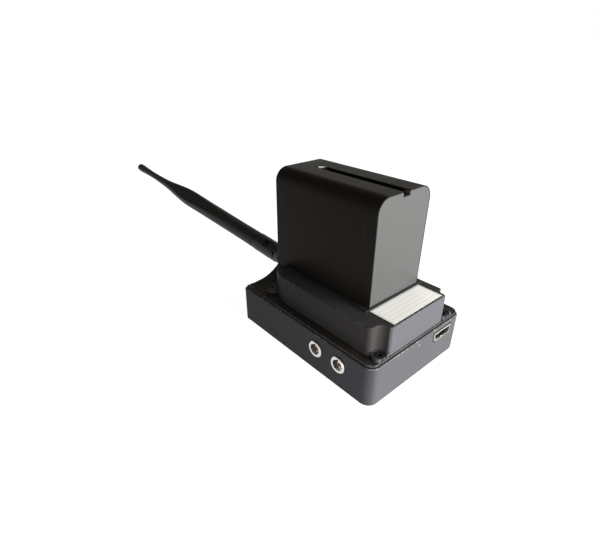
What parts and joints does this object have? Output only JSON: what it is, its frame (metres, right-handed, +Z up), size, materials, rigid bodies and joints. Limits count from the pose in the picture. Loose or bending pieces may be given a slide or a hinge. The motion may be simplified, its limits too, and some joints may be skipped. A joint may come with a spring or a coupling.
{
  "type": "wireless video transmitter",
  "caption": "Compact machined wireless transmitter box with a raised screwed cover, an upright slide-on battery, round locking sockets, a video socket and a hinged whip antenna.",
  "frame": {"origin": "centre of the flat underside of the base housing", "axes": "+X along the base towards the battery's grey end and the video socket, -Y towards the side with the two round sockets, +Z up out of the cover towards the battery's top"},
  "size_m": [0.2922, 0.0748, 0.0935],
  "materials": {
    "anodised_silver": "satin bead-blasted, clear anodised",
    "seam_rubber": "matt black rubber",
    "screw_black": "blackened steel",
    "screw_steel": "bright steel",
    "label_white": "matt white write-on plate",
    "plate_black": "fine-grained black moulding",
    "contact_gold": "gold plated",
    "battery_black": "textured black moulding",
    "battery_grey": "textured grey moulding",
    "cell_sleeve": "shrink-sleeved lithium cells",
    "tab_nickel": "bright nickel strip",
    "board_green": "green solder mask",
    "shell_nickel": "nickel-plated pressed steel",
    "tongue_dark": "dark moulding",
    "light_lens": "frosted lens",
    "chip_black": "moulded package",
    "heatsink_black": "black anodised",
    "board_blue": "blue solder mask",
    "can_tin": "tin-plated steel",
    "amplifier_silver": "milled aluminium module",
    "pad_grey": "soft silicone",
    "ferrite_grey": "pressed ferrite",
    "can_silver": "aluminium cans",
    "connector_gold": "gold-plated brass",
    "insulator_white": "white PTFE",
    "coax_copper": "bare copper tube of a semi-rigid coax",
    "collar_black": "black-plated brass",
    "hinge_black": "smooth black moulding",
    "pin_steel": "bright steel",
    "whip_black": "soft satin black moulding",
    "radiator_brass": "brass tube and wire",
    "ring_nickel": "satin nickel plate",
    "insert_olive": "olive moulding"
  },
  "bodies": {
    "transmitter": {"base_housing": "anodised_silver", "cover_gasket": "seam_rubber", "top_cover": "anodised_silver", "cover_screws": "screw_black", "edge_screws": "screw_steel", "label_plate": "label_white", "battery_plate": "plate_black", "plate_screws": "screw_steel", "plate_terminal_block": "plate_black", "plate_terminal_pins": "contact_gold", "video_socket_shell": "shell_nickel", "video_socket_tongue": "tongue_dark", "video_socket_contacts": "contact_gold", "status_light": "light_lens", "main_board": "board_green", "board_screws": "screw_steel", "video_processor": "chip_black", "processor_heatsink": "heatsink_black", "memory_chips": "chip_black", "radio_module": "board_blue", "radio_shield_can": "can_tin", "radio_coax_plug": "contact_gold", "power_amplifier": "amplifier_silver", "amplifier_thermal_pad": "pad_grey", "power_inductors": "ferrite_grey", "power_capacitors": "can_silver", "power_header": "plate_black", "antenna_jack_body": "connector_gold", "antenna_jack_insulator": "insulator_white", "antenna_jack_pin": "contact_gold", "antenna_jack_washer": "screw_steel", "antenna_jack_nut": "connector_gold", "antenna_feed_coax": "coax_copper", "round_socket_1_shell": "ring_nickel", "round_socket_1_insert": "insert_olive", "round_socket_1_contacts": "contact_gold", "round_socket_1_nut": "ring_nickel", "round_socket_2_shell": "ring_nickel", "round_socket_2_insert": "insert_olive", "round_socket_2_contacts": "contact_gold", "round_socket_2_nut": "ring_nickel"},
    "battery": {"battery_case": "battery_black", "battery_end_cap": "battery_grey", "battery_terminals": "contact_gold", "battery_cells": "cell_sleeve", "battery_cell_tabs": "tab_nickel", "battery_protection_board": "board_green"},
    "antenna_collar": {"antenna_coupling_collar": "collar_black"},
    "antenna_base": {"antenna_elbow": "hinge_black"},
    "antenna_whip": {"antenna_fork": "hinge_black", "antenna_hinge_pin": "pin_steel", "antenna_radome": "whip_black", "antenna_radiator": "radiator_brass"}
  },
  "joints": [
    {"name": "battery_slide", "type": "slide", "parent": "transmitter", "child": "battery", "axis": [-1, 0, 0], "range_m": [0, 0.013]},
    {"name": "antenna_collar_spin", "type": "hinge", "parent": "transmitter", "child": "antenna_collar", "pos_m": [-0.0576, 0.003, 0.0263], "axis": [-1, 0, 0], "continuous": true},
    {"name": "antenna_swivel", "type": "hinge", "parent": "transmitter", "child": "antenna_base", "pos_m": [-0.0648, 0.003, 0.0263], "axis": [-1, 0, 0], "range_deg": [-175, 175]},
    {"name": "antenna_tilt", "type": "hinge", "parent": "antenna_base", "child": "antenna_whip", "pos_m": [-0.0738, 0.003, 0.0263], "axis": [0, 0.8161, 0.5779], "range_deg": [-12.25, 77.75]}
  ]
}
